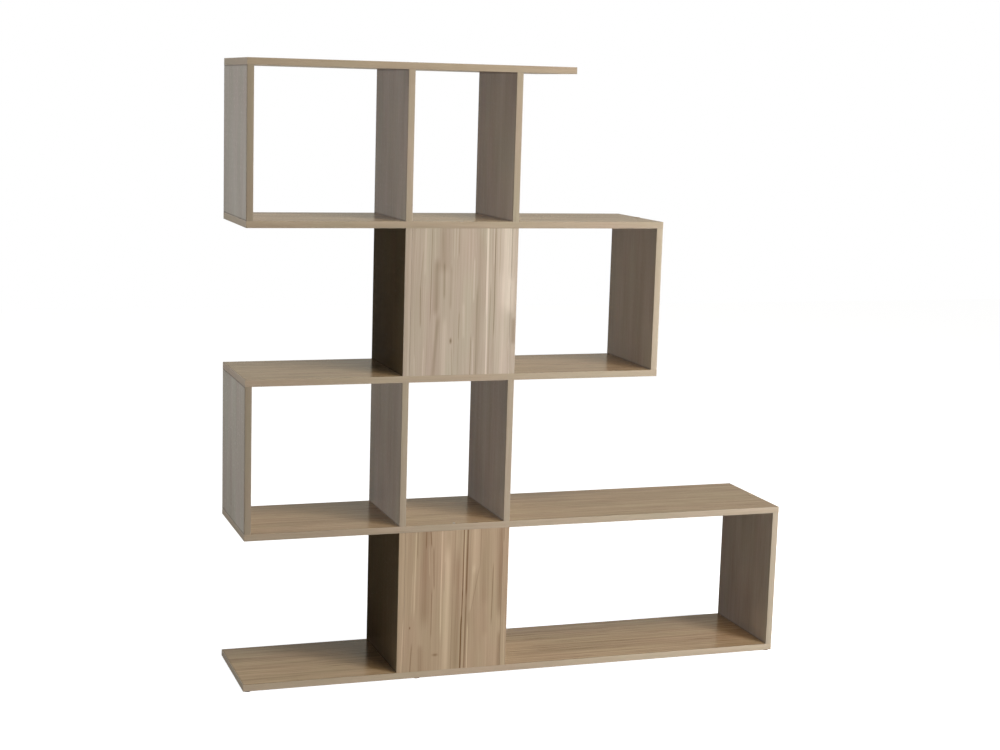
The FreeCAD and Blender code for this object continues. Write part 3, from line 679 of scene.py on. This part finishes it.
CAP_HEIGHT = 1.0 * MM
ROUND_SIDES = 48
CAP_COLOUR = colour(176, 156, 132)
CAP_ROUGHNESS = 0.42
CAP_FOOT_SHARE = 0.9
CAP_RIM_SHARE = 0.18
CAP_RIM_POINTS = 9
RIM_MIDDLE_SHARE = 0.45
RIM_RISE_SHARE = 0.55
DISH_HEIGHT_SHARE = 0.42
DISH_RADIUS_SHARES = (0.6, 0.3)
CENTRE_SHARE = 0.05


def turned(profile, centre, axis, across, sides):
    """A closed turned form: radius and height of a profile, carried round an axis.

    point = centre + axis * height + radius * (across * cos angle + third * sin angle)
    """
    radius, height = np.array(profile, float).T
    centre, axis, across = (np.array(item, float) for item in (centre, axis, across))
    third = np.cross(axis, across)
    angle = np.arange(sides) * (2 * math.pi / sides)
    spoke = np.cos(angle)[:, None] * across + np.sin(angle)[:, None] * third
    rings = centre + height[:, None, None] * axis + radius[:, None, None] * spoke
    middles = [centre + height[0] * axis, centre + height[-1] * axis]
    points = np.concatenate([rings.reshape(-1, 3), middles])
    ring, side = np.meshgrid(np.arange(len(radius) - 1), np.arange(sides), indexing="ij")
    following = (side + 1) % sides
    under, over = ring * sides, (ring + 1) * sides
    walls = np.stack([under + side, under + following, over + following, over + side], -1)
    first = np.arange(sides)
    second = (first + 1) % sides
    last = (len(radius) - 1) * sides
    foot = np.stack([second, first, np.full(sides, len(points) - 2)], 1)
    top = np.stack([last + first, last + second, np.full(sides, len(points) - 1)], 1)
    return points, [walls.reshape(-1, 4), foot, top]


def cap_profile(radius):
    """Radius and height from the foot's middle round a rolled rim to a dish.

    The rim is half an ellipse: radius = its middle + half its width * cos turn, and height = the
    cap's height * (middle share + rise share * sin turn).
    """
    half_rim = radius * CAP_RIM_SHARE / 2
    turn = np.linspace(0, math.pi, CAP_RIM_POINTS)
    out = radius - half_rim + np.cos(turn) * half_rim
    up = CAP_HEIGHT * (RIM_MIDDLE_SHARE + np.sin(turn) * RIM_RISE_SHARE)
    dish_height = CAP_HEIGHT * DISH_HEIGHT_SHARE
    dish = [(radius * share, dish_height) for share in (*DISH_RADIUS_SHARES, CENTRE_SHARE)]
    return [(radius * CENTRE_SHARE, 0), (radius * CAP_FOOT_SHARE, 0), *zip(out, up), *dish]


PLASTIC_CLOUD_SCALE = 120.0
MOULD_GRAIN_SCALE = 2500.0
PLASTIC_CLOUD_LEVEL = 0.82
MOULD_ROUGHNESS_SPREAD = 0.1


def moulded(name, shade, roughness):
    """Moulded plastic: a faint cloud of colour and the fine grain of a spark-worn mould."""
    finish = Finish(bpy.data.materials.new(name))
    place = finish.add("ShaderNodeTexCoord", output="Object")
    cloud = noise(finish, place, PLASTIC_CLOUD_SCALE, SOFT_DETAIL)
    grain = noise(finish, place, MOULD_GRAIN_SCALE)
    tint = finish.blended(cloud, shade, *toned([shade], PLASTIC_CLOUD_LEVEL))
    return finish.surface(tint, roughness + grain * MOULD_ROUGHNESS_SPREAD, grain, FINE_RELIEF)


SHELVES_AT = {"tier_1": ("base_shelf", "lower_shelf"), "tier_3": ("middle_shelf", "upper_shelf")}


def cam_cap_parts():
    """Caps on the right face of every upright that has cams, at the height of each cam."""
    low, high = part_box("cam_caps")
    radius = (high.y - low.y) / 2
    first_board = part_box("left_divider_tier_1")[0]
    setback = low.z + radius - first_board.z
    parts = []
    for name in UPRIGHTS:
        if not name.startswith("right_side"):
            board_low, board_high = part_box(name)
            for height in (board_low.z + setback, board_high.z - setback):
                centre = (board_high.x, (low.y + high.y) / 2, height)
                parts.append(turned(cap_profile(radius), centre, (1, 0, 0), (0, 1, 0), ROUND_SIDES))
    return parts


def side_cap_parts():
    """Caps over the screws that pass through a shelf into the end of a right side."""
    low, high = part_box("side_screw_caps")
    radius = (high.y - low.y) / 2
    parts = []
    for tier, (shelf_under, shelf_over) in SHELVES_AT.items():
        board_low, board_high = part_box("right_side_" + tier)
        x, y = (board_low.x + board_high.x) / 2, (low.y + high.y) / 2
        under = (x, y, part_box(shelf_under)[0].z)
        over = (x, y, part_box(shelf_over)[1].z)
        parts.append(turned(cap_profile(radius), under, (0, 0, -1), (1, 0, 0), ROUND_SIDES))
        parts.append(turned(cap_profile(radius), over, (0, 0, 1), (1, 0, 0), ROUND_SIDES))
    return parts


cap_plastic = moulded("cap_plastic", CAP_COLOUR, CAP_ROUGHNESS)
add_piece("cam_cover_caps", cam_cap_parts(), cap_plastic, "cap_plastic", "cam_caps")
add_piece("screw_cover_caps", side_cap_parts(), cap_plastic, "cap_plastic", "side_screw_caps")


# Panel screws
# One plated countersunk screw goes through a shelf into each end of each front panel.
# Its head stands a little proud and has a cross recess, pressed in when it was headed.

HEAD_RADIUS = 4 * MM
SHANK_RADIUS = 2.25 * MM
SCREW_LENGTH = 45 * MM
HEAD_DOME = 0.35 * MM
RECESS_DEPTH = 1.1 * MM
RECESS_WIDTH = 0.9 * MM
RECESS_LENGTH = 4.6 * MM
RECESS_WALL = 0.3 * MM
RECESS_RISE_SHARE = 0.5
HEAD_RIM = 0.25 * MM
POINT_LENGTH = 5 * MM
POINT_RADIUS = 0.2 * MM
HEAD_SIDES = 64
HEAD_RINGS = 22
SCREW_COLOUR = colour(214, 210, 202)


def head_top(centre, axis, across):
    """The top of a head on rings and spokes: a dome less a cross, whose walls are smooth steps.

    height = -dome * (radius share squared) - depth * arm * (1 - rise * radius share)
    """
    axis, across = np.array(axis, float), np.array(across, float)
    third = np.cross(axis, across)
    radius = np.linspace(0, HEAD_RADIUS, HEAD_RINGS + 1)[1:, None]
    angle = np.arange(HEAD_SIDES)[None] * (2 * math.pi / HEAD_SIDES)
    side, up = radius * np.cos(angle), radius * np.sin(angle)

    def step(distance, edge):
        """1 inside the edge and 0 outside, with an S over the recess's wall."""
        share = np.clip((edge + RECESS_WALL / 2 - np.abs(distance)) / RECESS_WALL, 0, 1)
        return share * share * (3 - 2 * share)

    arm = np.maximum(step(side, RECESS_WIDTH / 2) * step(up, RECESS_LENGTH / 2),
                     step(up, RECESS_WIDTH / 2) * step(side, RECESS_LENGTH / 2))
    out = radius / HEAD_RADIUS
    height = -HEAD_DOME * out ** 2 - RECESS_DEPTH * arm * (1 - RECESS_RISE_SHARE * out)
    grid = centre + side[..., None] * across + up[..., None] * third + height[..., None] * axis
    middle = np.array(centre) - RECESS_DEPTH * axis
    return grid, middle


def screw_part(centre, axis):
    """A whole screw: the grid of its head's top, then cone and shank as rings down to the point.

    Below the top, point = centre + axis * height + radius * (across * cos angle + third * sin angle).
    """
    centre, axis = np.array(centre, float), np.array(axis, float)
    across = np.array([1.0, 0, 0])
    grid, middle = head_top(centre, axis, across)
    angle = np.arange(HEAD_SIDES) * (2 * math.pi / HEAD_SIDES)
    spoke = np.cos(angle)[:, None] * across + np.sin(angle)[:, None] * np.cross(axis, across)
    rim = -HEAD_DOME - HEAD_RIM
    shoulder = rim - (HEAD_RADIUS - SHANK_RADIUS)
    below = [(HEAD_RADIUS, rim), (SHANK_RADIUS, shoulder), (SHANK_RADIUS, POINT_LENGTH - SCREW_LENGTH),
             (POINT_RADIUS, -SCREW_LENGTH)]
    lower = np.stack([centre + spoke * radius + axis * height for radius, height in below])
    rings = np.concatenate([grid, lower])
    count = len(rings)
    points = np.concatenate([rings.reshape(-1, 3), [middle, centre - axis * SCREW_LENGTH]])
    ring, side = np.meshgrid(np.arange(count - 1), np.arange(HEAD_SIDES), indexing="ij")
    following = (side + 1) % HEAD_SIDES
    over, under = ring * HEAD_SIDES, (ring + 1) * HEAD_SIDES
    walls = np.stack([over + following, over + side, under + side, under + following], -1)
    first = np.arange(HEAD_SIDES)
    second = (first + 1) % HEAD_SIDES
    last = (count - 1) * HEAD_SIDES
    inner = np.stack([first, second, np.full(HEAD_SIDES, len(points) - 2)], 1)
    tip = np.stack([last + second, last + first, np.full(HEAD_SIDES, len(points) - 1)], 1)
    return points, [walls.reshape(-1, 4), inner, tip]


def panel_screw_parts():
    """A screw down through the shelf over each panel, and one up through the shelf under it."""
    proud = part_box("panel_screws")[1].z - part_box("upper_shelf")[1].z
    parts = []
    for tier, (shelf_under, shelf_over) in SHELVES_AT.items():
        low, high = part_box("front_panel_" + tier)
        x, y = (low.x + high.x) / 2, (low.y + high.y) / 2
        parts.append(screw_part((x, y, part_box(shelf_over)[1].z + proud), (0, 0, 1)))
        parts.append(screw_part((x, y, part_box(shelf_under)[0].z - proud), (0, 0, -1)))
    return parts


screw_plate = plated("screw_plate", SCREW_COLOUR)
add_piece("panel_screw_heads", panel_screw_parts(), screw_plate, "zinc", "panel_screws")


# Glides
# Six black discs of polyethylene, nailed under the base, keep the board's edge off the floor.
# Their lower arris is rounded so that the case can be pushed.

GLIDE_RADIUS = 9 * MM
GLIDE_ARRIS = 1.2 * MM
GLIDE_ARRIS_POINTS = 7
MIDDLE_INSET = 38 * MM
GLIDE_COLOUR = colour(44, 40, 36)
GLIDE_ROUGHNESS = 0.5


def glide_profile(height):
    """Radius and height from the foot round the lower arris, a quarter circle, to the top face."""
    turn = np.linspace(0, math.pi / 2, GLIDE_ARRIS_POINTS)
    out = GLIDE_RADIUS - GLIDE_ARRIS + GLIDE_ARRIS * np.cos(turn)
    up = GLIDE_ARRIS - GLIDE_ARRIS * np.sin(turn)
    centre = GLIDE_RADIUS * CENTRE_SHARE
    return [(centre, 0), *zip(out[::-1], up[::-1]), (GLIDE_RADIUS, height), (centre, height)]


def glide_parts():
    """Glides at both ends and under the column, in a front and a back row."""
    low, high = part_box("glides")
    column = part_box("left_divider_tier_1")[1].x
    parts = []
    for x in (low.x + GLIDE_RADIUS, column + MIDDLE_INSET, high.x - GLIDE_RADIUS):
        for y in (low.y + GLIDE_RADIUS, high.y - GLIDE_RADIUS):
            parts.append(turned(glide_profile(high.z), (x, y, 0), (0, 0, 1), (1, 0, 0), ROUND_SIDES))
    return parts


glide_plastic = moulded("glide_plastic", GLIDE_COLOUR, GLIDE_ROUGHNESS)
add_piece("floor_glides", glide_parts(), glide_plastic, "glide_plastic", "glides")


# Studio
# The case stands on a pale floor that runs out to white. The key is a tall softbox at the right of the
# front, and black cloth shows in the gloss alone. The softboxes low at the left are flagged: one lights
# only the faces that close the left, and two light only the inside of the cells.

FLOOR_SIZE = 14.0
FLOOR_COLOUR = colour(203, 201, 198)
FLOOR_WHITE = colour(230, 230, 230)
FLOOR_GLOW = 0.97
AIR_LEVEL = 0.006
AIR_TINT = (1, 0.74, 0.55, 1)
CLOTH_COLOUR = colour(12, 11, 10)
CLOTH_LIFT = 2 * MM
CLOTH_REACH = 3.7
CLOTH_HEIGHT = 3.2
CLOTH_HALF_WIDTH = 6.0
MIDDLE = (0, 0, 0.75)


def seen_share(finish):
    """1 for rays from the camera and for those that gloss and clear pieces send on, otherwise 0."""
    straight = finish.add("ShaderNodeLightPath", output="Is Camera Ray")
    mirrored = straight.beside("Is Glossy Ray") + straight.beside("Is Transmission Ray")
    return (straight + mirrored).least(1)


def flat_sheet(name, strip, half_width):
    """A sheet whose section in y and z is strip, drawn out to half_width on both sides of x = 0."""
    section = np.array(strip, float)
    left = np.insert(section, 0, -half_width, 1)
    right = np.insert(section, 0, half_width, 1)
    count = len(section)
    faces = [(place, count + place, count + place + 1, place + 1) for place in range(count - 1)]
    mesh = bpy.data.meshes.new(name)
    mesh.from_pydata(np.concatenate([left, right]).tolist(), [], faces)
    sheet = bpy.data.objects.new(name, mesh)
    bpy.context.scene.collection.objects.link(sheet)
    return sheet


def plain_floor():
    """A square floor that is nearly white to the eye, with the case's soft shadow on it."""
    half = FLOOR_SIZE / 2
    floor = flat_sheet("floor", [(-half, 0), (half, 0)], half)
    finish = Finish(bpy.data.materials.new("floor_paper"))
    seen = seen_share(finish)
    paper = finish.add("ShaderNodeBsdfDiffuse", inputs={"Color": FLOOR_COLOUR})
    white = finish.add("ShaderNodeBsdfDiffuse", inputs={"Color": FLOOR_WHITE})
    glow = finish.add("ShaderNodeEmission", inputs={"Strength": FLOOR_GLOW})
    pale = finish.add("ShaderNodeAddShader", inputs=[white, glow])
    mixed = finish.add("ShaderNodeMixShader", inputs=[seen, paper, pale])
    finish.add("ShaderNodeOutputMaterial", inputs={"Surface": mixed})
    floor.data.materials.append(finish.owner)
    return floor


def black_cloth():
    """A cloth that hangs behind the case and in front, lies between, and shows in gloss alone."""
    cloth = flat_sheet("black_cloth", [
        (-CLOTH_REACH, CLOTH_HEIGHT), (-CLOTH_REACH, CLOTH_LIFT),
        (CLOTH_REACH, CLOTH_LIFT), (CLOTH_REACH, CLOTH_HEIGHT)], CLOTH_HALF_WIDTH)
    finish = Finish(bpy.data.materials.new("black_cloth"))
    weave = finish.add("ShaderNodeBsdfDiffuse", inputs={"Color": CLOTH_COLOUR})
    finish.add("ShaderNodeOutputMaterial", inputs={"Surface": weave})
    cloth.data.materials.append(finish.owner)
    for way in ("camera", "diffuse", "transmission", "volume_scatter", "shadow"):
        setattr(cloth, "visible_" + way, False)


def white_air():
    """The world: white to the eye, and a weak even light to everything else."""
    finish = Finish(bpy.data.worlds.new("air"))
    seen = seen_share(finish)
    tint = finish.blended(seen, AIR_TINT, (1, 1, 1, 1))
    level = AIR_LEVEL + seen * (1 - AIR_LEVEL)
    air = finish.add("ShaderNodeBackground", inputs={"Color": tint, "Strength": level})
    finish.add("ShaderNodeOutputWorld", inputs={"Surface": air})
    bpy.context.scene.world = finish.owner


def softbox(name, place, aim, width, height, power, tint):
    """An area light at a place, turned to its aim; neither the camera nor gloss shows it."""
    light = bpy.data.lights.new(name, "AREA")
    light.shape = "RECTANGLE"
    light.size = width
    light.size_y = height
    light.energy = power
    light.color = tint
    lamp = bpy.data.objects.new(name, light)
    lamp.location = place
    lamp.rotation_mode = "QUATERNION"
    lamp.rotation_quaternion = (Vector(aim) - Vector(place)).to_track_quat("-Z", "Y")
    lamp.visible_camera = False
    lamp.visible_glossy = False
    bpy.context.scene.collection.objects.link(lamp)
    return lamp


def around(azimuth, elevation, distance):
    """A place round the case's middle; azimuth is from the front towards the right, in degrees.

    place = middle + distance * (sin azimuth * cos rise, -cos azimuth * cos rise, sin rise)
    """
    turn, rise = math.radians(azimuth), math.radians(elevation)
    way = Vector((math.sin(turn) * math.cos(rise), -math.cos(turn) * math.cos(rise), math.sin(rise)))
    return Vector(MIDDLE) + way * distance


def lit_only(lamp, names):
    """Flags a softbox so that its light falls on the named pieces only."""
    lit = bpy.data.collections.new(lamp.name + "_lit")
    for name in names:
        lit.objects.link(bpy.data.objects[name])
    lamp.light_linking.receiver_collection = lit


def shadowless(lamp, floor):
    """Lets nothing but the floor stand in a softbox's light."""
    flags = bpy.data.collections.new(lamp.name + "_flags")
    flags.objects.link(floor)
    lamp.light_linking.blocker_collection = flags


WALL_PLACE = (1.25, 3.4, 1.3)
WALL_AIM = (1.25, 0, 1.3)
LOW_LEFT = around(-76, 14, 3.0)
# Each softbox: place, aim, width and height in metres, power in watts, tint
SOFTBOXES = {
    "key": (around(40, 5, 2.9), MIDDLE, 0.8, 2.0, 88, (0.86, 0.91, 1)),
    "over": (around(27, 48, 4.0), MIDDLE, 2.0, 1.6, 86, (1, 0.83, 0.56)),
    "high_left": (around(-80, 58, 3.6), MIDDLE, 1.6, 1.6, 21, (0.905, 1, 1)),
    "back_wall": (WALL_PLACE, WALL_AIM, 4.3, 2.6, 16, (1, 0.925, 0.775)),
    "back": (around(150, 12, 3.4), MIDDLE, 1.4, 1.4, 90, (1, 1, 1)),
    "left": (around(-80, 12, 3.0), MIDDLE, 1.2, 1.6, 76, (0.733, 0.811, 1)),
    "near_cells": (LOW_LEFT, MIDDLE, 1.2, 1.6, 45, (0.68, 0.76, 1)),
    "far_cells": (LOW_LEFT, MIDDLE, 1.2, 1.6, 33, (0.648, 0.722, 1)),
}
FLAGGED = {
    "back": [*UPRIGHTS, "front_panel_tier_1", "front_panel_tier_3", "end_edge_bands",
             *(name + "_long_bands" for name in BAND_SHADES),
             *(group + "_bands" for group in UPRIGHT_BAND_SHADES),
             *BESIDE_PANELS, "cam_cover_caps", "screw_cover_caps"],
    "left": ["left_side_tier_2", "left_side_tier_4", "end_edge_bands"],
    "near_cells": ["left_divider_tier_2", "left_divider_tier_4"],
    "far_cells": [name for name in UPRIGHTS if name.startswith("right")],
}
SHADOWLESS = ["left", "near_cells", "far_cells"]

paper_floor = plain_floor()
white_air()
black_cloth()
lamps = {name: softbox(name, *row) for name, row in SOFTBOXES.items()}
lamps["back_wall"].visible_diffuse = False
lamps["back_wall"].visible_glossy = True
for name, pieces in FLAGGED.items():
    lit_only(lamps[name], pieces)
    if name in SHADOWLESS:
        shadowless(lamps[name], paper_floor)


# Camera
# It stands in front of the left end, a little lower than the top shelf, and looks down to the right.

CAMERA_PLACE = (-1.475674, -4.087835, 1.419437)
CAMERA_TURN = 0.31668
CAMERA_TILT = -0.16272
CAMERA_ROLL = 0.02639
FOCAL_SHARE = 1.76592
CENTRE_ACROSS_SHARE = 0.457757
CENTRE_DOWN_SHARE = 0.379686
HEIGHT_SHARE = 0.75
SENSOR_WIDTH = 36


def aim_camera():
    """The camera's frame: turned from +Y to the right, tilted up, then rolled, at its place.

    look = (sin turn * cos tilt, cos turn * cos tilt, sin tilt), and the roll turns right into up.
    """
    look = Vector((math.sin(CAMERA_TURN) * math.cos(CAMERA_TILT),
                   math.cos(CAMERA_TURN) * math.cos(CAMERA_TILT), math.sin(CAMERA_TILT)))
    level = Vector((math.cos(CAMERA_TURN), -math.sin(CAMERA_TURN), 0))
    upright = level.cross(look)
    right = level * math.cos(CAMERA_ROLL) + upright * math.sin(CAMERA_ROLL)
    up = upright * math.cos(CAMERA_ROLL) - level * math.sin(CAMERA_ROLL)
    turn = Matrix((right, up, -look)).transposed()
    return Matrix.Translation(CAMERA_PLACE) @ turn.to_4x4()


camera_data = bpy.data.cameras.new("camera")
camera_data.sensor_width = SENSOR_WIDTH
camera_data.lens = SENSOR_WIDTH * FOCAL_SHARE
camera_data.shift_x = 1 / 2 - CENTRE_ACROSS_SHARE
camera_data.shift_y = CENTRE_DOWN_SHARE - HEIGHT_SHARE / 2
camera = bpy.data.objects.new("camera", camera_data)
camera.matrix_world = aim_camera()
bpy.context.scene.collection.objects.link(camera)
bpy.context.scene.camera = camera
bpy.context.scene.view_settings.view_transform = "Standard"
